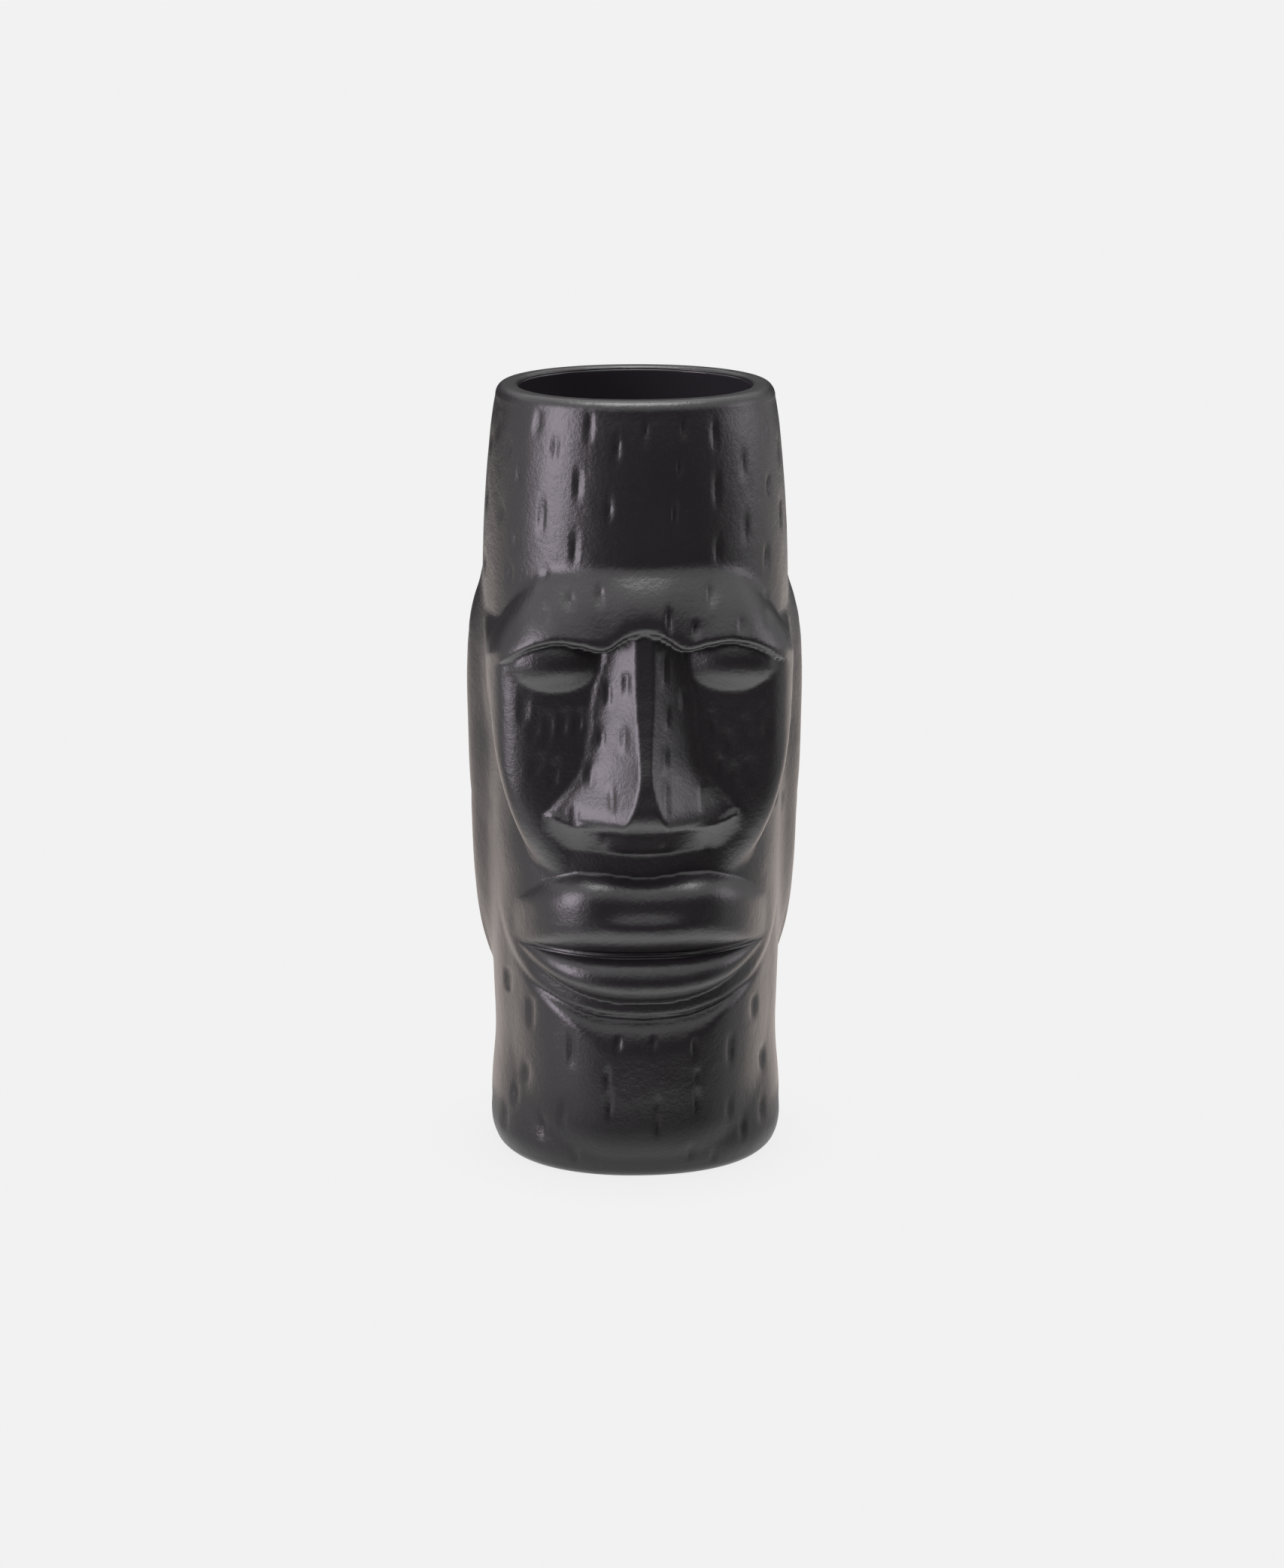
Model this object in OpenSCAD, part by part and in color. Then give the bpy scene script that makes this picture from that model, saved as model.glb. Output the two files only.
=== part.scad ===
// Tiki mug: a tall ceramic drinking mug in the form of a stylised stone head.
// The mug stands on z = 0, the face looks towards -Y, and all lengths are in mm.

/* [Whole mug] */
// height from the table to the top of the lip
mug_h = 180; // [162:1:198]
// width of the head across the temples, without the ears
head_w = 70; // [63:1:77]
// thickness of the fired clay wall
wall = 4; // [3.2:0.2:5]
// thickness of the clay floor
floor_t = 4.6; // [3.6:0.2:8]
// thickness of the glaze coats
glaze_t = 0.4; // [0.3:0.1:0.6]

/* [Foot] */
// outer radius of the bare foot ring where it meets the table
foot_r = 30.2; // [28.2:0.2:30.6]
// width of the foot ring
foot_w = 3.8; // [3:0.2:6]
// height of the hollow under the floor
foot_rise = 1.9; // [1.2:0.1:2.2]

/* [Face] */
// how far the brow shelf stands out over the eyes
brow_out = 6.3; // [4:0.1:8]
// how far the nose tip stands out from the face plane
nose_out = 12.8; // [8:0.2:15]
// half the width of the nose at its wings
nose_half_w = 21.6; // [18:0.2:23]
// how far the eyelids bulge out
lid_out = 3.3; // [2:0.1:5]
// how far the upper lip stands out from the muzzle
upper_lip_out = 6.8; // [4:0.2:8]
// how far the lower lip stands out from the muzzle
lower_lip_out = 5.4; // [3:0.2:7]
// how far the chin bulges out
chin_out = 6.3; // [4:0.1:8]

/* [Ears] */
// how far each ear stands out from the side of the head
ear_out = 4.4; // [2:0.2:5]
// half the depth of an ear from front to back
ear_half = 13; // [10:0.5:15]
// depth of the hollow inside an ear
ear_hollow = 1.8; // [0:0.1:2.6]

/* [Hidden] */

design_h = 180;
design_w = 70;
sx = head_w / design_w;
sz = mug_h / design_h;
lip_round = 2.8;
lip_reach = 2.6;
lip_in = 1;
lip_z = design_h - lip_round;
glaze_z = 0.4;

// heights of the rings of points from the foot to the lip, closer together on the face
rows = [glaze_z, 1.5, 3.2, 7, 12, 18, 24, 30, 35, 38, 40, 42, 44, 46, 49, 52, 54, 55.2, 56.4, 58.5, 62, 66,
        69.5, 72, 74, 76.5, 78.5, 81.5, 83.9, 85.8, 88, 92, 97, 103, 109, 114, 117, 120.5, 123.5, 126,
        127.6, 129.4, 132, 135.5, 139, 143, 160, lip_z];
// columns of points round the mug, closer together at the front
n_cols = 56;
front_crowding = 0.45;
angles = [for (i = [0:n_cols - 1]) let (t = i * 360 / n_cols) t - front_crowding * sin(t) * 180 / PI];

function clamp(v) = min(1, max(0, v));
function ease(v) = let (c = clamp(v)) c * c * (3 - 2 * c);
function soft_max(p, q, s) = let (h = max(s - abs(p - q), 0) / s) max(p, q) + h * h * s / 4;
// half-width of a superellipse at distance x from its middle
function bow(x, a, b, n) = b * pow(max(1 - pow(abs(x) / a, n), 0), 1 / n);

// the plain head: half-width, depth to the front and depth to the back at height z
half_w = [[0, 30.8], [0.4, 31.4], [1.5, 32.6], [3, 33.4], [11, 34], [28, 33], [39, 33.3], [60, 34], [90, 34.5],
          [120, 35], [137, 35.1], [147, 34.8], [165, 33.5], [173, 32.6], [178, 31.7], [180, 31.2]];
front_d = [[0, 30.8], [0.4, 31.4], [1.5, 32.6], [3, 33.3], [20, 33.6], [45, 34], [75, 34.5], [100, 34.5],
           [130, 34], [155, 33.5], [165, 33.1], [173, 32.4], [178, 31.6], [180, 31.2]];
back_d = [[0, 30.8], [0.4, 31.4], [1.5, 32.6], [3, 33.4], [20, 33.9], [45, 34.5], [100, 35.4], [130, 35.2],
          [155, 34.1], [165, 33.5], [173, 32.8], [178, 31.9], [180, 31.4]];

// height of the lower edge of the brow: it dips beside the nose and arches over each eye
brow_edge = [[0, 129.8], [4, 128.8], [8.8, 125.9], [14, 126.9], [19.5, 127.6], [25, 126.3], [31.5, 122.4],
             [36, 120]];
// height of the line where the brow starts to swell out of the forehead
brow_top = [[0, 143], [15, 143], [26, 139.5], [31.4, 134], [35, 128]];
// lower edge of the flat cheeks, which rises away from the nose
cheek_edge = [[0, 82], [15, 85], [22, 90], [28, 98.6], [31, 110], [33, 124]];
// the fold between the mouth and the chin, which turns up round the corners of the mouth
chin_edge = [[0, 40.4], [11, 41.4], [21, 44.9], [27, 49.6], [31, 57], [34, 70]];

// 1 on the flat face between cheeks and brow, 0 on the round head, falling across the brow and the cheeks
function flatness(x, z) =
    let (top = lookup(abs(x), brow_top) + 1, up = clamp((top - z) / (top - lookup(abs(x), brow_edge))))
    pow(ease((z - lookup(abs(x), cheek_edge) + 26) / 27), 1.5) * pow(up, 1.6);
function brow(x, z) =
    let (top = lookup(abs(x), brow_top), edge = lookup(abs(x), brow_edge), middle = exp(-pow(x / 12, 4)),
         s = clamp((top - z) / (top - edge - 1 - 2 * middle)), under = clamp((z - edge + 1.1) / 1.7))
    brow_out * max(1 - pow(abs(x) / 34.5, 3.4), 0) * (s + 0.17 * middle * sin(180 * s))
        * sqrt(under * (2 - under));

// the nose as depth from the axis: ridge, half-width of its flat top and half-width of its foot
nose_ridge = [[84, 11.2], [88, 11.4], [95, 11], [104, 8.5], [115, 6], [126, 4.1], [132, 3]];
nose_top = [[86.5, 4.6], [89, 3.4], [92, 2.3], [97, 1.3], [104, 1.4], [115, 1.9], [126, 2]];
nose_foot = [[86.5, 21.6], [89, 20], [92, 17.7], [97, 14], [104, 12.4], [115, 11], [126, 8], [130, 7]];
function nose(x, z) =
    let (low = 85.2 + 4 * pow(min(abs(x) / 21.6, 1.2), 6), level = max(z, low),
         top = lookup(level, nose_top), foot = lookup(level, nose_foot) * nose_half_w / 21.6,
         u = clamp((abs(x) - top) / (foot - top)), wing = 35.3 + 1.4 * ease((94 - z) / 8))
    z > 131 ? 0
        : wing + (lookup(level, nose_ridge) * nose_out / 12.8 - 0.8) * pow(1 - u, 1.4)
            - 2 * max(abs(x) - foot, 0) - 4.2 * max(low - z, 0) - 3 * pow(clamp((low + 4 - z) / 4.6), 2);
// the pad that the nose stands on leans back down to an arc above the upper lip
function nose_pad(x, z) =
    let (arc = 77.5 + 6.5 * pow(abs(x) / 21.6, 5))
    abs(x) > 22.3 || z > 88 ? 0
        : 40.6 - 0.0125 * x * x - 0.47 * (84.5 - z) - 3 * ease((arc + 0.6 - z) / 1.8)
            - 3 * max(z - 85 - 4 * pow(abs(x) / 21.6, 6), 0);

function lid(x, z) =
    let (q = pow((abs(x) - 19.4) / 9.9, 2) + pow((z - 121.6) / (z < 121.6 ? 6.4 : 7.5), 2))
    q > 1 ? 0 : 34 + lid_out * pow(1 - q, 0.95);

// the swelling that carries both lips, faded out under the nose and under the chin
function muzzle(x, z) =
    let (side = ease((abs(x) - 15) / 10))
    bow(x, 33.5, 37.6, 2.4) - 20 * ease((lookup(abs(x), chin_edge) - z + 1) / 14)
        - (12 - 6 * side) * ease((z - 80 + 9 * side) / (8 + 16 * side)) - 30 * ease((z - 86) / 30);
function upper_lip(x, z) =
    let (top = 72.8 + 0.7 * (1 - cos(360 * x / 29)) - 8 * pow(abs(x) / 29, 4), low = 55.6,
         mid = low + 0.45 * (top - low), u = z > mid ? (z - mid) / (top - mid) : (z - mid) / (mid - low),
         section = u > 0 ? pow(max(1 - pow(u, 4), 0), 0.7) : pow(max(1 - u * u, 0), 0.6),
         dish = 1.4 * exp(-pow(x / 9.5, 4) - pow((z - 69) / 4.4, 4)))
    abs(x) > 29 || z > top || z < low ? 0
        : bow(x, 33.5, 37.4, 2.4) + (upper_lip_out - dish) * (1 - pow(abs(x) / 29, 5)) * section;
function lower_lip(x, z) =
    let (top = 54.9, low = 43.9 + 10.5 * pow(abs(x) / 28, 2.5), u = (z - (top + low) / 2) / ((top - low) / 2))
    abs(x) > 27.5 || z > top || z < low ? 0
        : bow(x, 33.5, 37.4, 2.4) + lower_lip_out * (1 - pow(abs(x) / 28, 4)) * pow(max(1 - u * u, 0), 0.55);
// the thin ridge between two grooves from corner to corner of the mouth
function mouth_line(x, z) =
    let (bead = max(1 - pow((z - 55.2 - 0.6 * pow(x / 28, 2)) / 0.7, 2), 0))
    abs(x) > 28.5 || bead == 0 ? 0 : bow(x, 33.5, 37.4, 2.4) + 2.2 * bead * (1 - pow(abs(x) / 29, 4));

function chin(x, z) =
    let (q = pow(pow(abs(x) / 30.5, 3) + pow(max(45 - z, 0) / 40, 3), 1 / 3),
         s = clamp((lookup(abs(x), chin_edge) - z) / (9 - 5 * ease((abs(x) - 8) / 12))))
    chin_out * max(1 - pow(q, 5), 0) * sqrt(s * (2 - s));

// an ear at depth y: a long slab with a round outline, hollowed in its upper half
ear_proud = [[42, 0], [46, 0.25], [50, 0.48], [56, 0.68], [64, 0.84], [80, 0.955], [100, 1], [115, 0.955],
             [124, 0.795], [130, 0.477], [134, 0.182], [138, 0]];
function ear(y, z) =
    let (half = ear_half * pow(max(1 - pow(abs((z - 90) / 48), 3), 0), 0.4) * (1 - 0.22 * ease((96 - z) / 20)),
         edge = y < 3 ? (half + y - 3) / 11 : (half - y + 3) / 5,
         hollow = ease(1 - pow((y - 7) / (ear_half - 7), 2)) * ease((z - 80) / 8) * ease((126 - z) / 8))
    ear_out * lookup(z, ear_proud) * ease(edge) - ear_hollow * hollow * ease(edge - 0.4);

// the glazed surface at angle f from the front and height z, moved in by g towards the axis
function skin(f, z, g = 0) =
    let (front = cos(f) > 0, a = lookup(z, half_w), b = front ? lookup(z, front_d) : lookup(z, back_d),
         n = front ? 2.15 + 4.6 * flatness(a * sin(f) * 1.12, z) : 2.1,
         r = pow(pow(abs(sin(f)) / a, n) + pow(abs(cos(f)) / b, n), -1 / n),
         x = r * sin(f), d = r * cos(f),
         upper = soft_max(d + brow(x, z), max(lid(x, z), nose(x, z)), 0.5),
         lips = max(upper_lip(x, z), lower_lip(x, z), mouth_line(x, z), nose_pad(x, z)),
         lower = soft_max(max(muzzle(x, z), lips), d + chin(x, z), 0.5),
         face = soft_max(upper, lower, 1.2),
         d2 = front && abs(x) < 34 ? d + (face - d) * ease((34 - abs(x)) / 2) : d,
         side = ear(-d, z) * ease((abs(sin(f)) - 0.6) / 0.2))
    [(x + sign(x) * side - g * sin(f)) * sx, (-d2 + g * cos(f)) * sx, z * sz];

// the round inside wall, a clay wall's thickness in from the plain head
function inside(f, z, g = 0) =
    let (a = lookup(z, half_w), b = cos(f) > 0 ? lookup(z, front_d) : lookup(z, back_d),
         n = cos(f) > 0 ? 2.15 + 1.6 * flatness(a * sin(f), z) : 2.1,
         r = pow(pow(abs(sin(f)) / a, n) + pow(abs(cos(f)) / b, n), -1 / n) - wall - 2 * glaze_t + g)
    [r * sin(f) * sx, -r * cos(f) * sx, z * sz];

// a lip point: the lip turns over from the outer wall to the inner wall
lip_arc = [30, 60, 90];
function lip_outer(f, g = 0) =
    let (p = skin(f, lip_z), r = norm([p.x, p.y]))
    [for (t = lip_arc) let (q = r - (lip_reach - (lip_reach - g) * pow(cos(t), 0.85)) * sx)
        [q * sin(f), -q * cos(f), (lip_z + (lip_round - g) * sin(t)) * sz]];
// the inner edge of the lip, where the outer glaze meets the liner
function lip_inner(f, g = 0) =
    let (p = inside(f, design_h - 1), r = norm([p.x, p.y]))
    [for (t = [90, 20]) let (q = r + (lip_in - (lip_in - g) * cos(t)) * sx)
        [q * sin(f), -q * cos(f), (design_h - lip_in + (lip_in - g) * sin(t)) * sz]];

function outer_column(f, g = 0) = concat([for (z = rows) skin(f, z, g)], lip_outer(f, g), lip_inner(f, g));

// the underside of the clay: the flat hollow and the ledge that the foot ring stands under
function foot_column(f) = [for (p = [[foot_r - 0.5, foot_rise], [foot_r + 0.3, glaze_z]])
    [p.x * sin(f) * sx, -p.x * cos(f) * sx, p.y * sz]];

// the cavity: rings down the inside wall, round the bottom corner and across the floor
well_rows = [176, 160, 143, 130, 115, 100, 85, 65, 45, 28, 16];
floor_z = foot_rise + floor_t + 2 * glaze_t;
function inner_column(f, g = 0) = concat(
    [for (z = well_rows) inside(f, z, g)],
    [for (t = [30, 60, 90]) let (p = inside(f, 16, 0), r = norm([p.x, p.y]), c = 16 - floor_z,
        q = r - (c - (c + g) * cos(t)) * sx) [q * sin(f), -q * cos(f), (16 - (c + g) * sin(t)) * sz]],
    [let (z = (floor_z - g) * sz) [8 * sin(f), -8 * cos(f), z]]);

function flat(lists) = [for (l = lists) each l];
// quads between neighbouring columns; a closed loop also joins each column's last point to its first
function quads(k, loop = false) = [for (i = [0:n_cols - 1], j = [0:k - (loop ? 1 : 2)])
    let (i2 = (i + 1) % n_cols, j2 = (j + 1) % k) each [[i * k + j, i * k + j2, i2 * k + j2],
                                                       [i * k + j, i2 * k + j2, i2 * k + j]]];
// a fan from one middle point to the first or the last ring
function fan(k, j, middle, up) = [for (i = [0:n_cols - 1]) let (i2 = (i + 1) % n_cols)
    up ? [middle, i * k + j, i2 * k + j] : [middle, i2 * k + j, i * k + j]];

// a closed solid of revolution-like columns with a middle point at each end
module capped(columns, first, last) {
    k = len(columns[0]);
    count = n_cols * k;
    polyhedron(points = concat(flat(columns), [first, last]),
               faces = concat(quads(k), fan(k, 0, count, true), fan(k, k - 1, count + 1, false)));
}
// a closed tube of columns that run out and back
module ringed(columns) {
    k = len(columns[0]);
    polyhedron(points = flat(columns), faces = quads(k, true));
}
function turned(list) = [for (i = [len(list) - 1:-1:0]) list[i]];

module clay_body() color([0.79, 0.75, 0.68]) {
    capped([for (f = angles) concat(foot_column(f), outer_column(f, glaze_t), inner_column(f, glaze_t))],
           [0, 0, foot_rise * sz], [0, 0, (floor_z - glaze_t) * sz]);
    foot_ring();
}

// the unglazed ring the mug stands on, with a small bevel at each edge
module foot_ring() rotate_extrude($fn = 96) scale([sx, sz]) polygon([
    [foot_r - foot_w, 0.5], [foot_r - foot_w + 0.5, 0], [foot_r - 0.4, 0], [foot_r, 0.15],
    [foot_r + 0.4, glaze_z], [foot_r - 1, foot_rise + 1.2], [foot_r - foot_w, foot_rise + 1.2]]);

module outer_glaze() color([0.06, 0.055, 0.06])
    ringed([for (f = angles) concat(outer_column(f), turned(outer_column(f, glaze_t)))]);

module liner_glaze() color([0.03, 0.03, 0.035]) {
    columns = [for (f = angles) concat(turned(inner_column(f, glaze_t)), [lip_inner(f, glaze_t)[1]],
                                       [lip_inner(f)[1]], inner_column(f))];
    capped(columns, [0, 0, (floor_z - glaze_t) * sz], [0, 0, floor_z * sz]);
}

// the island of glaze in the hollow inside the foot ring
module base_glaze() color([0.05, 0.05, 0.055])
    translate([0, 0, (foot_rise - glaze_t) * sz])
        cylinder(h = glaze_t * sz, r = (foot_r - foot_w - 1.2) * sx, $fn = 96);

clay_body();
outer_glaze();
liner_glaze();
base_glaze();
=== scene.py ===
import math

import bpy
import numpy as np
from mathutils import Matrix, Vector


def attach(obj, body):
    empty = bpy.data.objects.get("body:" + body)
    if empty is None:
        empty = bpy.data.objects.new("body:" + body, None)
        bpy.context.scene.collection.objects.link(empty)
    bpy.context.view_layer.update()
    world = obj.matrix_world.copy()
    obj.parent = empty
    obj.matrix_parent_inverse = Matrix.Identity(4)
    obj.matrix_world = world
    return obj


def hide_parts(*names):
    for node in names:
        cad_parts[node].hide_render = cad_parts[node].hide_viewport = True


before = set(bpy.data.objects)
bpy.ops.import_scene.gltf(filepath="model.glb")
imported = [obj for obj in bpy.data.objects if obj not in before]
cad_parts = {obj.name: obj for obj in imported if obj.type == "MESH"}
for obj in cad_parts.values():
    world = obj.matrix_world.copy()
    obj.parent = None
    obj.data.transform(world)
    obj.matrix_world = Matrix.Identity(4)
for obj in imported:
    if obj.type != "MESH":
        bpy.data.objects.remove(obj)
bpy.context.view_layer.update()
millimetre = 0.001


# ---------------------------------------------------------------------------------------------
# Clay body: the mug itself, one slip-cast stoneware wall about 4 mm thick with its floor and the
# bare ring that it stands on. The head's relief is in the plaster mould, and the short gouges all
# over it are cut in the model that the mould was made from. Fired once, then glazed.

mug_height = 180.0
lip_rounding, lip_reach = 2.8, 2.6
lip_inner_rounding = 1.0
lip_start = mug_height - lip_rounding
glaze = 0.4
clay_wall = 4.0
foot_radius, foot_width, foot_hollow = 30.2, 3.8, 1.9
glaze_start = 0.4
clay_floor = 4.6

brow_out, nose_out, lid_out = 6.3, 12.75, 3.3
upper_lip_out, lower_lip_out, chin_out = 6.8, 5.4, 6.3
nose_half_width = 21.6
upper_lip_half, lower_lip_half = 29.0, 28.0
ear_half, ear_hollow = 13.0, 1.8

# The lips stand on one superellipse, given by its half width, its depth and its power.
jaw = (33.5, 37.4, 2.4)


def flowing(x, stations):
    """A smooth curve through (place, value) stations: a cubic between each two, whose slope at a
    station is that of the line between its neighbours. Beyond the ends it stays level."""
    place, value = np.array(stations, float).T
    slope = np.gradient(value, place)
    x = np.clip(x, place[0], place[-1])
    i = np.clip(np.searchsorted(place, x) - 1, 0, len(place) - 2)
    step = place[i + 1] - place[i]
    t = (x - place[i]) / step
    return (
        value[i] * (1 + 2 * t) * (1 - t) ** 2
        + value[i + 1] * t**2 * (3 - 2 * t)
        + step * (slope[i] * t * (1 - t) ** 2 - slope[i + 1] * t**2 * (1 - t))
    )


def ease(t):
    """0 below 0, 1 above 1, and 3t^2 - 2t^3 between."""
    t = np.clip(t, 0, 1)
    return t * t * (3 - 2 * t)


def soft_max(p, q, width):
    """The larger of two heights, with the valley where they cross filled by a parabola of that width."""
    near = np.maximum(width - np.abs(p - q), 0) / width
    return np.maximum(p, q) + near * near * width / 4


def bow(x, half, deep, power):
    """Depth of a superellipse (x/half)^power + (d/deep)^power = 1 at distance x from its middle."""
    return deep * np.maximum(1 - (np.abs(x) / half) ** power, 0) ** (1 / power)


def half_width(z):
    """Half the width of the plain head at a height: it swells at the ears and draws in at the waist."""
    return flowing(z, [
        (0, 30.8), (0.4, 31.4), (1.5, 32.6), (3, 33.4), (11, 34), (28, 33), (39, 33.3), (60, 34), (90, 34.5),
        (120, 35), (137, 35.1), (147, 34.8), (165, 33.5), (173, 32.6), (178, 31.7), (180, 31.2),
    ])


def front_depth(z):
    """How far the plain head reaches forwards from its axis at a height."""
    return flowing(z, [
        (0, 30.8), (0.4, 31.4), (1.5, 32.6), (3, 33.3), (20, 33.6), (45, 34), (75, 34.5), (100, 34.5),
        (130, 34), (155, 33.5), (165, 33.1), (173, 32.4), (178, 31.6), (180, 31.2),
    ])


def back_depth(z):
    """How far the plain head reaches back from its axis at a height."""
    return flowing(z, [
        (0, 30.8), (0.4, 31.4), (1.5, 32.6), (3, 33.4), (20, 33.9), (45, 34.5), (100, 35.3), (130, 35.1),
        (155, 34.1), (165, 33.5), (173, 32.8), (178, 31.9), (180, 31.4),
    ])


def brow_edge(x):
    """Height of the brow's lower edge: it arches over the nose and over each eye."""
    return flowing(np.abs(x), [
        (0, 129.8), (4, 128.8), (8.8, 125.9), (14, 126.9), (19.5, 127.6), (25, 126.3), (31.5, 122.4),
        (36, 120),
    ])


def brow_line(x):
    """Height of the line where the brow starts to swell out of the forehead."""
    return flowing(np.abs(x), [(0, 143), (15, 143), (26, 139.5), (31.4, 134), (35, 128)])


def flatness(x, z):
    """1 on the flat face between the cheeks' lower edge and the brow, 0 on the round head, and falling
    across the brow and down the cheeks so that both slope evenly."""
    cheek_edge = flowing(np.abs(x), [(0, 82), (15, 85), (22, 90), (28, 98.6), (31, 110), (33, 124)])
    up_brow = np.clip((brow_line(x) + 1 - z) / (brow_line(x) + 1 - brow_edge(x)), 0, 1)
    return ease((z - cheek_edge + 26) / 27) ** 1.5 * up_brow**1.6


def brow(x, z):
    """Height of the brow over the forehead: a shelf that slopes out from its top line, swells a little more
    over the nose, fades to the temples, and turns in with a quarter circle at its lower edge."""
    top, edge = brow_line(x), brow_edge(x)
    middle = np.exp(-((x / 12) ** 4))
    slope = np.clip((top - z) / (top - edge - 1 - 2 * middle), 0, 1)
    slope = slope + 0.17 * middle * np.sin(np.pi * slope)
    fade = np.maximum(1 - (np.abs(x) / 34.5) ** 3.4, 0)
    under = np.clip((z - edge + 1) / 1.4, 0, 1)
    return brow_out * fade * slope * np.sqrt(under * (2 - under))


def nose(x, z):
    """Depth of the nose: a narrow flat ridge, flanks that fall away as a power of the share across and end
    in a small step at the cheek, and a tip and wings that roll under as a parabola towards their pad."""
    x = np.abs(x)
    low = 84.6 + 4.6 * np.minimum(x / nose_half_width, 1.2) ** 4
    level = np.maximum(z, low)
    ridge = flowing(level, [(84, 11.2), (88, 11.4), (95, 11), (104, 8.5), (115, 6), (126, 4.1), (132, 3)])
    top = flowing(level, [(86.5, 4.6), (89, 3.4), (92, 2.3), (97, 1.3), (104, 1.4), (115, 1.9), (126, 2)])
    foot = flowing(level, [
        (86.5, nose_half_width), (89, 20), (92, 17.7), (97, 14), (104, 12.4), (115, 11), (126, 8), (130, 7),
    ])
    across = np.clip((x - top) / (foot - top), 0, 1)
    wing = 35.3 + 1.4 * ease((94 - z) / 8)
    out = wing + (ridge * nose_out / 12.8 - 0.8) * (1 - across) ** 1.4 - 2 * np.maximum(x - foot, 0)
    under = 1.1 * np.maximum(low - z, 0) + 2.5 * np.maximum(low - 5 - z, 0)
    under = under + (3.4 - 2.4 * across) * np.clip((low + 8 - z) / 8.6, 0, 1) ** 2
    return np.where(z > 131, 0, out - under)


def nose_foot(x, z):
    """Depth of the pad that the nose stands on: it leans back down to an arc above the upper lip."""
    share = np.abs(x) / nose_half_width
    arc = 77.5 + 6.5 * share**5
    out = 40.6 - 0.0125 * x * x - 0.47 * (84.5 - z) - 3 * ease((arc + 0.6 - z) / 1.8)
    above = np.maximum(z - 85 - 4 * share**6, 0)
    return np.where((np.abs(x) > 22.3) | (z > 88), 0, out - 3 * above)


def lid(x, z):
    """Depth of a closed eyelid: an ellipsoid whose upper third lies back under the brow."""
    away = ((np.abs(x) - 19.4) / 9.9) ** 2 + ((z - 121.6) / np.where(z < 121.6, 6.4, 7.5)) ** 2
    return np.where(away > 1, 0, 34.0 + lid_out * np.maximum(1 - away, 0) ** 0.95)


def chin_fold(x):
    """Height of the fold between the mouth and the chin, which turns up round the corners of the mouth."""
    return flowing(np.abs(x), [(0, 40.4), (11, 41.4), (21, 44.9), (27, 49.6), (31, 57), (34, 70)])


def muzzle(x, z):
    """Depth of the swelling that carries both lips, faded out under the nose and under the chin."""
    side = ease((np.abs(x) - 15) / 10)
    over = (12 - 6 * side) * ease((z - 80 + 9 * side) / (8 + 16 * side)) + 30 * ease((z - 86) / 30)
    return bow(x, 33.5, 37.6, 2.4) - 20 * ease((chin_fold(x) - z + 1) / 14) - over


def upper_lip(x, z):
    """Depth of the upper lip: a bulge with a half-round section and a wavy top, dished in the middle."""
    x = np.abs(x)
    share = x / upper_lip_half
    top = 72.8 + 0.7 * (1 - np.cos(2 * np.pi * share)) - 8 * share**4
    low = 55.6
    middle = low + 0.45 * (top - low)
    u = np.where(z > middle, (z - middle) / (top - middle), (z - middle) / (middle - low))
    section = np.where(u > 0, np.maximum(1 - u**4, 0) ** 0.7, np.maximum(1 - u * u, 0) ** 0.6)
    dish = 1.4 * np.exp(-((x / 9.5) ** 4) - ((z - 69) / 4.4) ** 4)
    bulge = (upper_lip_out - dish) * (1 - np.minimum(share, 1) ** 5) * section
    return np.where((share > 1) | (np.abs(u) > 1), 0, bow(x, *jaw) + bulge)


def lower_lip(x, z):
    """Depth of the lower lip: a crescent whose lower edge turns up to the corners of the mouth."""
    x = np.abs(x)
    share = x / lower_lip_half
    low = 43.9 + 10.5 * share**2.5
    top = 54.9
    u = (z - (top + low) / 2) / ((top - low) / 2)
    bulge = lower_lip_out * (1 - np.minimum(share, 1) ** 4) * np.maximum(1 - u * u, 0) ** 0.55
    return np.where((x > 27.5) | (np.abs(u) > 1), 0, bow(x, *jaw) + bulge)


def mouth_line(x, z):
    """Depth of the thin ridge that runs between two grooves from corner to corner of the mouth."""
    bead = np.maximum(1 - ((z - 55.2 - 0.6 * (x / lower_lip_half) ** 2) / 0.7) ** 2, 0)
    ridge = 2.2 * bead * (1 - np.minimum(np.abs(x) / upper_lip_half, 1) ** 4)
    return np.where((np.abs(x) > 28.5) | (bead == 0), 0, bow(x, *jaw) + ridge)


def chin(x, z):
    """Height of the chin over the neck: a broad U-shaped dome cut off by the fold under the mouth."""
    away = ((np.abs(x) / 30.5) ** 3 + (np.maximum(45 - z, 0) / 40) ** 3) ** (1 / 3)
    rise = np.clip((chin_fold(x) - z) / (9 - 5 * ease((np.abs(x) - 8) / 12)), 0, 1)
    return chin_out * np.maximum(1 - away**5, 0) * np.sqrt(rise * (2 - rise))


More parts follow.
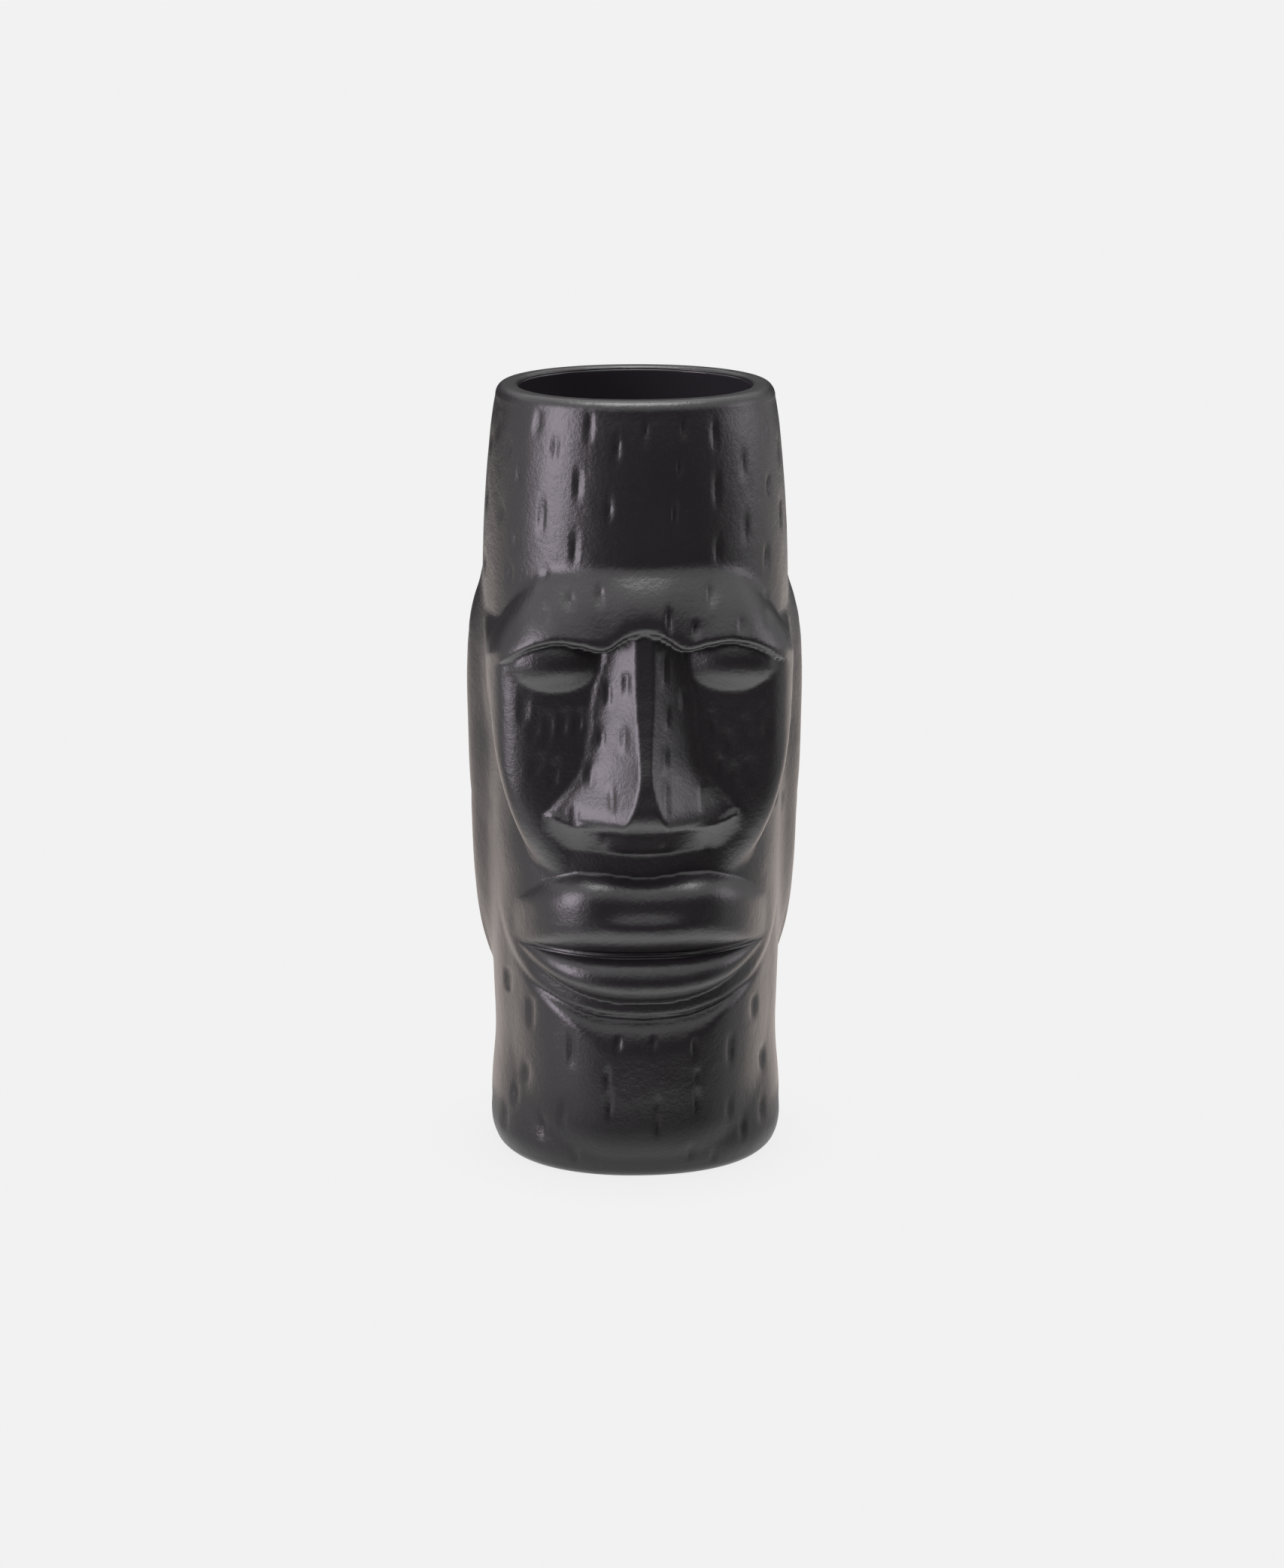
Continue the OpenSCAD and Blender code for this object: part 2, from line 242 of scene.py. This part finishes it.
def ear(y, z):
    """Height of an ear over the side of the head: a long slab with a round outline, a front edge that ramps
    up over 11 mm, a back edge that drops in 5 mm, and a hollow behind its rim above the lobe."""
    proud = flowing(z, [
        (42, 0), (46, 1.1), (50, 2.1), (56, 3.0), (64, 3.6), (80, 4.0), (100, 4.15), (115, 4.0), (124, 3.4),
        (130, 2.1), (134, 0.8), (138, 0),
    ])
    half = ear_half * np.maximum(1 - np.abs((z - 90) / 48) ** 3, 0) ** 0.4
    half = half * (1 - 0.22 * ease((96 - z) / 20))
    edge = np.where(y < 3, (half + y - 3) / 11, (half - y + 3) / 5)
    hollow = ease(1 - ((y - 7) / (ear_half - 7)) ** 2) * ease((z - 80) / 8) * ease((126 - z) / 8)
    return proud * ease(edge) - ear_hollow * hollow * ease(edge - 0.4)


# The gouges cut by hand: the place across, the height, and the length where it isn't the usual 5.5 mm.
# On the forehead the place is in degrees round from the front; everywhere else it is in millimetres.
gouge_length, gouge_width, gouge_depth = 5.5, 1.9, 0.8
forehead_gouges = [
    (-44, 174.5, 4), (-21, 174.5), (1, 173.5, 3), (16, 174, 4), (29, 172.5, 6), (58, 172, 5), (-71, 172),
    (-60, 168, 4), (-35, 169.5), (-10, 170, 4), (14, 165.5, 4), (42, 165.5), (71, 166), (-52, 162, 4),
    (-25, 161.5, 6.5), (29, 160.5, 6.5), (45, 159, 2), (57, 159, 5), (-13, 156.5, 4), (12, 155.5, 6),
    (-63, 153.5, 4), (-40, 154, 6.5), (42, 151, 6.5), (68, 152, 6), (-53, 148, 5), (-26, 147.5, 6.5),
    (29, 147), (54, 143), (-56, 140, 4), (-38, 140.5, 4),
]
brow_gouges = [
    (-10, 137.5, 4), (-16.5, 136.5, 3), (-22.5, 133.5, 3), (5.5, 132, 6), (15, 137, 4), (22, 130.5, 4),
    (28, 132.5, 6), (11.5, 130, 4),
]
nose_gouges = [
    (-4, 118), (-8, 115.5, 6), (-4.5, 105.5, 6), (-9.5, 105.5, 5), (-12, 96.5, 6), (-7.5, 92, 6),
    (4.5, 121, 8), (9, 114), (5, 110), (4.5, 101), (4.5, 92.5, 9), (13, 91.5, 6), (-15.5, 87.5, 5),
    (-9, 82, 4), (4, 83, 4), (14.5, 81, 5),
]
neck_gouges = [
    (-25.5, 38.5, 8), (-30.5, 43.5, 6), (-16.5, 32.5, 9), (-6, 34.5, 3), (2, 34.5, 3), (11.5, 33.5),
    (20, 31, 8), (26, 39, 6), (-8.5, 27, 3), (-8, 20.5, 8), (12, 26, 3), (12, 20.5, 6), (3, 19.5, 3),
    (3, 15, 5), (-26.5, 23), (28.5, 24.5), (-18.5, 16, 6), (20, 16), (-23, 10.5, 6), (23.5, 9.5, 5),
    (-31.5, 10, 6), (28.5, 12, 6), (-15.5, 5, 3), (11, 6.5, 4), (16.5, 4.5, 3), (-29, 16.5, 5),
    (31.5, 87.5, 6),
]
cheek_scratches = [
    (-26.5, 112, 9), (-24, 108, 8), (-21.5, 107, 9), (-18, 108.5, 7), (-14.5, 109, 6), (-20, 97, 7),
    (-24, 99, 6), (15.5, 108, 7), (19, 104, 6), (23, 106.5, 7), (27.5, 108, 9), (20.5, 95, 8),
    (24, 97, 7), (17.5, 98, 6),
]


def gouge(along, across, length=gouge_length, width=gouge_width):
    """Share of the full depth: a V across the gouge, and along it a parabola to the power 0.7 that runs out
    at both ends."""
    v_cut = np.maximum(1 - np.abs(across / width * 2), 0)
    return v_cut * np.maximum(1 - (along / length * 2) ** 2, 0) ** 0.7


def gouges(angle, x, y, z):
    """Depth of every gouge. On the forehead they are placed by angle, on the face by x, and round the sides
    and the back in staggered rows 14 mm apart, one to 17 degrees, each nudged by sines of its own number."""
    girth = 34.0
    deep = np.zeros_like(z)
    for place, height, *length in forehead_gouges:
        deep = np.maximum(deep, gouge(z - height, (angle - np.radians(place)) * girth, *length))
    facing = np.abs(angle) < np.radians(88)
    face_sets = [
        (neck_gouges, 1.0, gouge_width, 0.0),
        (brow_gouges, 1.3, 2.2, 0.0),
        (nose_gouges, 0.75, 1.6, 0.0),
        (cheek_scratches, 0.95, 1.7, 0.12),
    ]
    for places, share, width, slant in face_sets:
        for place, height, *length in places:
            lean = (z - height) * slant * np.sign(place)
            cut = gouge(z - height, x - place + lean, *(length or [gouge_length]), width)
            deep = np.maximum(deep, share * cut * facing)
    row_rise, row_foot, column_turn = 14, 12, 17
    row = np.round((z - row_foot) / row_rise)
    turned = np.degrees(angle) + column_turn / 2 * (row % 2)
    column = np.round(turned / column_turn)
    nudge = np.sin(row * 12.9 + column * 78.2)
    aside = (turned - column * column_turn - 4.6 * nudge) * np.radians(1) * girth
    above = z - row_foot - row * row_rise - 3.4 * np.sin(row * 5.3 + column * 31.7)
    off_ear = 1 - ease(ear(y, z) * 2) * (np.abs(y) < 22)
    side = 0.9 * gouge(above, aside, gouge_length + 1.3 * nudge, 2.5) * off_ear
    around = (np.abs(np.degrees(angle)) > 76) & (z > 7) & (z < 173)
    return gouge_depth * np.where(around, side, deep)


def skin(angle, z, inset):
    """The glazed outside at an angle from the front and a height, moved in by inset towards the axis. The
    head is a superellipse at each height; brow, lids, nose, lips and chin push it forwards, the ears
    sideways."""
    x_side, y_front = np.sin(angle), np.cos(angle)
    front = y_front > 0
    half = half_width(z)
    deep = np.where(front, front_depth(z), back_depth(z))
    power = np.where(front, 2.15 + 4.6 * flatness(half * x_side * 1.12, z), 2.1)
    radius = ((np.abs(x_side) / half) ** power + (np.abs(y_front) / deep) ** power) ** (-1 / power)
    x, d = radius * x_side, radius * y_front
    upper = soft_max(d + brow(x, z), np.maximum(lid(x, z), nose(x, z)), 0.5)
    mouth = np.maximum(np.maximum(upper_lip(x, z), lower_lip(x, z)), mouth_line(x, z))
    mouth = np.maximum(np.maximum(mouth, nose_foot(x, z)), muzzle(x, z))
    lower = soft_max(mouth, d + chin(x, z), 0.5)
    face = soft_max(upper, lower, 2.2)
    d_face = np.where(front, d + (face - d) * ease((34 - np.abs(x)) / 2), d)
    x_ear = x + np.sign(x) * ear(-d, z) * ease((np.abs(x_side) - 0.6) / 0.2)
    inset = inset + gouges(angle, x, -d, z)
    return x_ear - inset * x_side, -d_face + inset * y_front


def inner_wall(angle, z, inset):
    """The smooth inside of the clay, a wall's thickness in from the plain head, moved out by inset."""
    x_side, y_front = np.sin(angle), np.cos(angle)
    half = half_width(z)
    deep = np.where(y_front > 0, front_depth(z), back_depth(z))
    power = np.where(y_front > 0, 2.15 + 1.6 * flatness(half * x_side, z), 2.1)
    radius = ((np.abs(x_side) / half) ** power + (np.abs(y_front) / deep) ** power) ** (-1 / power)
    radius = radius - clay_wall - 2 * glaze + inset
    return radius * x_side, -radius * y_front


# Columns crowd towards the face and rows towards its details: both as smooth functions of an even count.
columns = 200
turn = np.linspace(0, 2 * np.pi, columns, endpoint=False)
angle = turn - 0.45 * np.sin(turn)
angle = (angle + np.pi) % (2 * np.pi) - np.pi
rows = flowing(np.linspace(0, 1, 222), [
    (0, glaze_start), (0.02, 3), (0.13, 36), (0.2, 46), (0.27, 53), (0.33, 57), (0.41, 66), (0.51, 77),
    (0.6, 90), (0.69, 105), (0.77, 118), (0.86, 130), (0.91, 144), (1, lip_start),
])


def outer_chain(inset):
    """Rings of points from the foot up the outside, over the lip in a superellipse and down its inner
    rounding in a circle, as an array of rings, columns and x, y, z."""
    a, z = np.meshgrid(angle, rows)
    x, y = skin(a, z, inset)
    chain = [np.stack([x, y, z], -1)]
    lip_radius = np.hypot(x[-1], y[-1]) + inset
    for t in np.radians([9, 18, 27, 36, 45, 54, 63, 72, 81, 90]):
        radius = lip_radius - lip_reach + (lip_reach - inset) * np.cos(t) ** 0.85
        chain.append(lip_ring(radius, lip_start + (lip_rounding - inset) * np.sin(t))[None])
    for t in np.radians([90, 70, 50, 30, 10]):
        radius = mouth_radius() + lip_inner_rounding - (lip_inner_rounding - inset) * np.cos(t)
        height = mug_height - lip_inner_rounding + (lip_inner_rounding - inset) * np.sin(t)
        chain.append(lip_ring(radius, height)[None])
    return np.concatenate(chain)


def mouth_radius():
    """Radius of the inside wall at the lip, for each column."""
    return np.hypot(*inner_wall(angle, np.full(columns, mug_height - 1.0), 0))


def lip_ring(radius, height):
    """One ring of points round the mug at a height, with a radius for each column."""
    return np.stack([radius * np.sin(angle), -radius * np.cos(angle), np.full(columns, height)], -1)


cavity_floor = foot_hollow + clay_floor + 2 * glaze
corner_z = 16.0
well_rows = np.concatenate([[178.8, 178.3, 177.5, 176], np.linspace(173, corner_z, 36)])


def inner_chain(inset):
    """Rings of points down the inside wall, round the bottom corner and in across the floor."""
    a, z = np.meshgrid(angle, well_rows)
    wall = np.stack([*inner_wall(a, z, inset), z], -1)
    corner = np.hypot(*inner_wall(angle, np.full(columns, corner_z), 0))
    bend = corner_z - cavity_floor
    round_corner = [
        lip_ring(corner - bend + (bend + inset) * np.cos(t), corner_z - (bend + inset) * np.sin(t))
        for t in np.radians([10, 20, 30, 40, 50, 60, 70, 80, 90])
    ]
    across = [lip_ring(np.full(columns, r), cavity_floor - inset) for r in (17, 12, 7, 3)]
    return np.concatenate([wall, round_corner, across])


def quads(rings, closed):
    """Four-sided faces between neighbouring rings; a closed tube also joins its last ring to its first."""
    i, j = np.meshgrid(np.arange(rings if closed else rings - 1), np.arange(columns), indexing="ij")
    i2, j2 = (i + 1) % rings, (j + 1) % columns
    corners = [i * columns + j, i * columns + j2, i2 * columns + j2, i2 * columns + j]
    return np.stack(corners, -1).reshape(-1, 4)


def make_mesh(name, points, faces, fans=()):
    """A smooth-shaded object from points in mm; each fan joins a ring to one point and faces up or down."""
    j = np.arange(columns)
    corners = [faces.ravel()]
    sizes = [np.full(len(faces), 4)]
    for ring, middle, up in fans:
        a, b = ring * columns + j, ring * columns + (j + 1) % columns
        fan = np.stack([a, b, np.full(columns, middle)] if up else [b, a, np.full(columns, middle)], -1)
        corners.append(fan.ravel())
        sizes.append(np.full(columns, 3))
    corners, sizes = np.concatenate(corners), np.concatenate(sizes)
    mesh = bpy.data.meshes.new(name)
    mesh.vertices.add(len(points))
    mesh.vertices.foreach_set("co", (points * millimetre).ravel())
    mesh.loops.add(len(corners))
    mesh.loops.foreach_set("vertex_index", corners.astype(np.int32))
    mesh.polygons.add(len(sizes))
    mesh.polygons.foreach_set("loop_start", np.concatenate([[0], np.cumsum(sizes)[:-1]]).astype(np.int32))
    mesh.update(calc_edges=True)
    mesh.validate()
    mesh.shade_smooth()
    piece = bpy.data.objects.new(name, mesh)
    bpy.context.scene.collection.objects.link(piece)
    return piece


class Wire:
    """A shader socket or a number that can be reckoned with: each operator adds a Math node."""

    def __init__(self, tree, socket):
        self.tree, self.socket = tree, socket

    def node(self, kind, settings=(), inputs=(), out=0):
        """A new node of a type, with its settings set first, then its sockets' values or links."""
        made = self.tree.nodes.new(kind)
        for key, value in dict(settings).items():
            if key == "stops":
                ramp = made.color_ramp
                while len(ramp.elements) < len(value):
                    ramp.elements.new(0.5)
                for element, (place, colour) in zip(ramp.elements, value):
                    element.position, element.color = place, (*colour, 1)
            else:
                setattr(made, key, value)
        for key, value in dict(inputs).items():
            if isinstance(value, Wire):
                self.tree.links.new(value.socket, made.inputs[key])
            else:
                made.inputs[key].default_value = value
        return Wire(self.tree, made.outputs[out])

    def math(self, operation, *terms):
        return self.node("ShaderNodeMath", {"operation": operation}, dict(enumerate(terms)))

    def __add__(self, other):
        return self.math("ADD", self, other)

    def __sub__(self, other):
        return self.math("SUBTRACT", self, other)

    def __rsub__(self, other):
        return self.math("SUBTRACT", other, self)

    def __mul__(self, other):
        return self.math("MULTIPLY", self, other)

    __radd__, __rmul__ = __add__, __mul__


def finish(name, build, **constants):
    """A material with one Principled shader: constants are set on its sockets, build links the rest."""
    material = bpy.data.materials.new(name)
    material.use_nodes = True
    tree = material.node_tree
    shader = tree.nodes["Principled BSDF"]
    for key, value in constants.items():
        shader.inputs[key.replace("_", " ")].default_value = value
    place = Wire(tree, tree.nodes.new("ShaderNodeTexCoord").outputs["Object"])
    for key, wire in build(place).items():
        tree.links.new(wire.socket, shader.inputs[key.replace("_", " ")])
    return material


def grain(place, size, detail=3.0, rough=0.55):
    """Noise whose grains are about size metres across, from 0 to 1."""
    inputs = {"Vector": place, "Scale": 1 / size, "Detail": detail, "Roughness": rough}
    return place.node("ShaderNodeTexNoise", {}, inputs)


def between(place, factor, dark, light):
    """A colour between two, each a triple or a wire, by a factor wire."""
    dark, light = [c if isinstance(c, Wire) else (*c, 1) for c in (dark, light)]
    return place.node("ShaderNodeMix", {"data_type": "RGBA"}, {0: factor, 6: dark, 7: light}, out=2)


def stretched(place, factor, low, high):
    """A wire's range from low to high stretched to 0 to 1, eased at both ends."""
    settings = {"interpolation_type": "SMOOTHSTEP"}
    return place.node("ShaderNodeMapRange", settings, {0: factor, 1: low, 2: high})


def clay_build(place):
    speckle = grain(place, 0.0006, 2)
    cloud = grain(place, 0.012)
    tone = between(place, cloud, (0.40, 0.34, 0.27), (0.52, 0.46, 0.38))
    spots = stretched(place, speckle, 0.62, 0.74)
    colour = between(place, spots * 0.45, tone, (0.2, 0.15, 0.11))
    bump = place.node("ShaderNodeBump", {}, {"Height": speckle, "Strength": 0.35, "Distance": 0.0004})
    return {"Base_Color": colour, "Roughness": cloud * 0.12 + 0.72, "Normal": bump}


outside, inside = outer_chain(glaze), inner_chain(glaze)
foot_inner = foot_radius - foot_width
foot_profile = [
    (foot_radius + 0.5, glaze_start), (foot_radius + 0.1, 0.3), (foot_radius - 0.25, 0.05),
    (foot_radius - 0.5, 0), (foot_radius - foot_width / 2, 0), (foot_inner + 0.5, 0),
    (foot_inner + 0.15, 0.12), (foot_inner, 0.5), (foot_inner - 0.1, foot_hollow - 0.4),
    (foot_inner - 0.6, foot_hollow),
]
foot = np.array([lip_ring(np.full(columns, r), z) for r, z in reversed(foot_profile)])
rings = np.concatenate([foot, outside, inside])
ends = [[0, 0, foot_hollow], [0, 0, cavity_floor - glaze]]
points = np.concatenate([rings.reshape(-1, 3), ends])
fans = [(0, len(points) - 2, False), (len(rings) - 1, len(points) - 1, True)]
clay_body = make_mesh("clay_body_visual", points, quads(len(rings), False), fans)
clay_body.data.materials.append(finish("bare_fired_clay", clay_build, IOR=1.45))
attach(clay_body, "root")
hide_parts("clay_body")


# ---------------------------------------------------------------------------------------------
# Outer glaze: a satin black coat about 0.4 mm thick, dipped over the whole outside from just above
# the foot ring, over the lip and down to the edge of the liner. It has a fine grain, a faint cloud in
# its tone and small browner freckles scattered at random.


def satin_build(place):
    fine = grain(place, 0.0009, 4, 0.6)
    orange_peel = grain(place, 0.0042, 2, 0.4)
    cloud = grain(place, 0.022, 3)
    tone = between(place, cloud, (0.0085, 0.0075, 0.009), (0.0125, 0.0105, 0.0115))
    freckle = stretched(place, fine, 0.60, 0.78)
    colour = between(place, freckle * 0.5, tone, (0.026, 0.02, 0.018))
    peel = place.node("ShaderNodeBump", {}, {"Height": orange_peel, "Strength": 0.22, "Distance": 0.0006})
    fine_bump = {"Height": fine, "Strength": 0.3, "Distance": 0.0003, "Normal": peel}
    normal = place.node("ShaderNodeBump", {}, fine_bump)
    return {"Base_Color": colour, "Roughness": cloud * 0.06 + fine * 0.05 + 0.28, "Normal": normal}


glaze_out, glaze_in = outer_chain(0), outer_chain(glaze)
tube = np.concatenate([glaze_out, glaze_in[::-1]])
outer_glaze = make_mesh("outer_glaze_visual", tube.reshape(-1, 3), quads(len(tube), True))
outer_glaze.data.materials.append(finish("satin_black_glaze", satin_build, IOR=1.58))
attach(outer_glaze, "root")
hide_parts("outer_glaze")


# ---------------------------------------------------------------------------------------------
# Liner glaze: a gloss black coat poured into the cavity and swirled out, so it covers the inside
# wall and the floor and meets the outer glaze on the inner edge of the lip.


def liner_build(place):
    ripple = grain(place, 0.009, 2, 0.4)
    cloud = grain(place, 0.02)
    tone = between(place, cloud, (0.026, 0.0235, 0.028), (0.036, 0.033, 0.038))
    bump = place.node("ShaderNodeBump", {}, {"Height": ripple, "Strength": 0.15, "Distance": 0.0006})
    return {"Base_Color": tone, "Roughness": cloud * 0.08 + 0.10, "Normal": bump}


coat_in, coat_out = inner_chain(0), inner_chain(glaze)
edge_out, edge_in = outer_chain(glaze)[-1:], outer_chain(0)[-1:]
rings = np.concatenate([coat_out[::-1], edge_out, edge_in, coat_in])
ends = [[0, 0, cavity_floor - glaze], [0, 0, cavity_floor]]
points = np.concatenate([rings.reshape(-1, 3), ends])
fans = [(0, len(points) - 2, False), (len(rings) - 1, len(points) - 1, True)]
liner = make_mesh("liner_glaze_visual", points, quads(len(rings), False), fans)
liner.data.materials.append(finish("gloss_black_liner", liner_build, IOR=1.5))
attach(liner, "root")
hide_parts("liner_glaze")


# ---------------------------------------------------------------------------------------------
# Base glaze: the round island of the same satin glaze in the hollow inside the foot ring. The ring
# itself is wiped clean before firing, so that the mug doesn't stick to the kiln shelf.

island_radius = foot_radius - foot_width - 1.2
island_under = foot_hollow - glaze
island_profile = [
    (8, island_under), (20, island_under), (island_radius - 0.5, island_under),
    (island_radius - 0.12, island_under + 0.12), (island_radius, foot_hollow), (8, foot_hollow),
]
rings = np.array([lip_ring(np.full(columns, r), z) for r, z in island_profile])
points = np.concatenate([rings.reshape(-1, 3), [[0, 0, island_under], [0, 0, foot_hollow]]])
fans = [(0, len(points) - 2, False), (len(rings) - 1, len(points) - 1, True)]
base_glaze = make_mesh("base_glaze_visual", points, quads(len(rings), False), fans)
base_glaze.data.materials.append(bpy.data.materials["satin_black_glaze"])
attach(base_glaze, "root")
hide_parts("base_glaze")


# ---------------------------------------------------------------------------------------------
# Floor: a pale table that runs on into a plain pale studio. It is not lit but glows. The camera sees it
# whole, an even pale glow with a painted contact shadow where ambient occlusion darkens it round the foot.
# The glaze reflects only the disc of it close round the foot, which glows brightest next to the foot and
# fainter outwards: a painted pool of light under the mug.

backdrop = 0.887
floor_radius, floor_sides = 0.25, 96
near_start, near_end = 0.038, 0.058
floor_turn = np.linspace(0, 2 * np.pi, floor_sides, endpoint=False)
floor_rim = np.stack([np.cos(floor_turn), np.sin(floor_turn), 0 * floor_turn], -1) * floor_radius
floor_mesh = bpy.data.meshes.new("floor")
floor_mesh.from_pydata(floor_rim, [], [range(floor_sides)])
floor = bpy.data.objects.new("floor", floor_mesh)
bpy.context.scene.collection.objects.link(floor)
paper = bpy.data.materials.new("pale_table")
paper.use_nodes = True
tree = paper.node_tree
shader = tree.nodes["Principled BSDF"]
shader.inputs["Base Color"].default_value = (0.0, 0.0, 0.0, 1)
shader.inputs["Specular IOR Level"].default_value = 0
wire = Wire(tree, shader.outputs[0])
# Painted contact shadow: for the camera the floor's glow is darkened to 93 % where ambient occlusion finds
# the mug within 20 mm.
shade = wire.node("ShaderNodeAmbientOcclusion", {"samples": 8}, {"Distance": 0.02}, out=1)
tone = wire.node("ShaderNodeMapRange", {}, {0: shade, 1: 0.0, 2: 1.0, 3: 0.93 * backdrop, 4: backdrop})
camera_ray = wire.node("ShaderNodeLightPath", {}, {}, out=0)
place = wire.node("ShaderNodeTexCoord", {}, {}, out=3)
reach = wire.node("ShaderNodeVectorMath", {"operation": "LENGTH"}, {0: place}, out=1)
# Painted pool of light: for every other ray the disc glows 0.75 next to the foot, fading to 0.25 at 58 mm,
# and is clear beyond.
near = wire.node("ShaderNodeMapRange", {}, {0: reach, 1: near_start, 2: near_end, 3: 0.75, 4: 0.25})
glow = wire.node("ShaderNodeMix", {"data_type": "FLOAT"}, {0: camera_ray, 2: near, 3: tone})
tree.links.new(glow.socket, shader.inputs["Emission Strength"])
shader.inputs["Emission Color"].default_value = (1, 1, 1, 1)
clear = wire.node("ShaderNodeBsdfTransparent")
covered = wire.math("MAXIMUM", camera_ray, wire.math("LESS_THAN", reach, near_end))
mixed = wire.node("ShaderNodeMixShader", {}, {0: covered, 1: clear, 2: wire})
tree.links.new(mixed.socket, tree.nodes["Material Output"].inputs[0])
floor_mesh.materials.append(paper)


# ---------------------------------------------------------------------------------------------
# Studio: dark in front of the mug and behind it so that the black glaze stays black, paler at both
# sides, above and below, a warm strip low behind it where the table catches the light, and a bright
# patch straight overhead that draws the line along the lip. The camera sees only the plain backdrop.

world = bpy.data.worlds.new("studio")
bpy.context.scene.world = world
world.use_nodes = True
tree = world.node_tree
sky = tree.nodes["Background"]
wire = Wire(tree, sky.outputs[0])
way = wire.node("ShaderNodeTexCoord", {}, {}, out=0)
split = tree.nodes.new("ShaderNodeSeparateXYZ")
tree.links.new(way.socket, split.inputs[0])
x, y, z = (Wire(tree, split.outputs[i]) for i in range(3))
degree = math.radians(1)


def rising(value, middle, soft):
    """0 below a middle value and 1 above it, eased over an edge of the soft width."""
    return stretched(wire, value, middle - soft / 2, middle + soft / 2)


round_front = wire.math("ARCTAN2", x, y * -1)
round_back = wire.math("ARCTAN2", x * -1, y)
height = wire.math("ARCSINE", z)
front_left = rising(round_front * -1, 42 * degree, 10 * degree)
front_right = rising(round_front, 70 * degree, 34 * degree)
beside_front = wire.math("MAXIMUM", front_left, front_right)
back_left = rising(round_back * -1, 36 * degree, 16 * degree)
back_right = rising(round_back, 52 * degree, 20 * degree)
beside_back = wire.math("MAXIMUM", back_left, back_right)
above = rising(height, 25 * degree, 8 * degree)
below = rising(height * -1, 38 * degree, 26 * degree)
overhead = rising(height, 71 * degree, 12 * degree)
beside = wire.math("MINIMUM", beside_front, beside_back)
sides = wire.math("MAXIMUM", beside * 0.55, wire.math("MAXIMUM", above * 1.1, below * 2.0))
table_behind = wire.math("MINIMUM", rising(y, 0.42, 0.5), rising(height * -1, 9 * degree, 6 * degree))
table_behind = table_behind * (1.0 - rising(y, 0.945, 0.05) * 0.6)
for_mug = wire.math("MAXIMUM", sides, table_behind * 1.25) + overhead * 7.0 + 0.04
camera_ray = wire.node("ShaderNodeLightPath", {}, {}, out=0)
seen = wire.node("ShaderNodeMix", {"data_type": "FLOAT"}, {0: camera_ray, 2: for_mug, 3: backdrop})
tree.links.new(seen.socket, sky.inputs["Strength"])
warm = between(wire, table_behind * (1.0 - camera_ray), (1, 1, 1), (1, 0.89, 0.83))
tree.links.new(warm.socket, sky.inputs["Color"])


# ---------------------------------------------------------------------------------------------
# Lamps and camera: a big faintly violet soft box on the left, a weak fill on the right, and a long
# lens that looks slightly down at the face.


def area_light(name, way, height, size, power, colour):
    """A soft rectangular light 0.9 m from the mug's axis, at a way round from the front in degrees and a
    height in metres, turned to face the middle of the mug."""
    lamp = bpy.data.lights.new(name, "AREA")
    lamp.shape, lamp.size, lamp.size_y = "RECTANGLE", size[0], size[1]
    lamp.energy, lamp.color = power, colour
    light = bpy.data.objects.new(name, lamp)
    way = math.radians(way)
    light.location = (0.9 * math.sin(way), -0.9 * math.cos(way), height)
    middle = Vector((0.0, 0.0, 0.09))
    light.rotation_euler = (middle - light.location).to_track_quat("-Z", "Y").to_euler()
    bpy.context.scene.collection.objects.link(light)


area_light("soft_box", -62, 0.255, (0.46, 0.67), 6.4, (0.97, 0.86, 1.0))
area_light("fill", 88, 0.34, (0.5, 0.42), 1.35, (0.97, 0.9, 1.0))

bpy.context.scene.view_settings.view_transform = "Standard"

camera_data = bpy.data.cameras.new("camera")
camera_data.lens, camera_data.sensor_width = 91.0, 36.0
camera = bpy.data.objects.new("camera", camera_data)
bpy.context.scene.collection.objects.link(camera)
bpy.context.scene.camera = camera
camera_way, camera_rise, camera_distance = math.radians(-3.2), math.radians(13.8), 0.926
target = Vector((0.0016, 0.0, 0.0856))
level = math.cos(camera_rise)
back = Vector((math.sin(camera_way) * level, -math.cos(camera_way) * level, math.sin(camera_rise)))
camera.location = target + camera_distance * back
camera.rotation_euler = (target - camera.location).to_track_quat("-Z", "Y").to_euler()
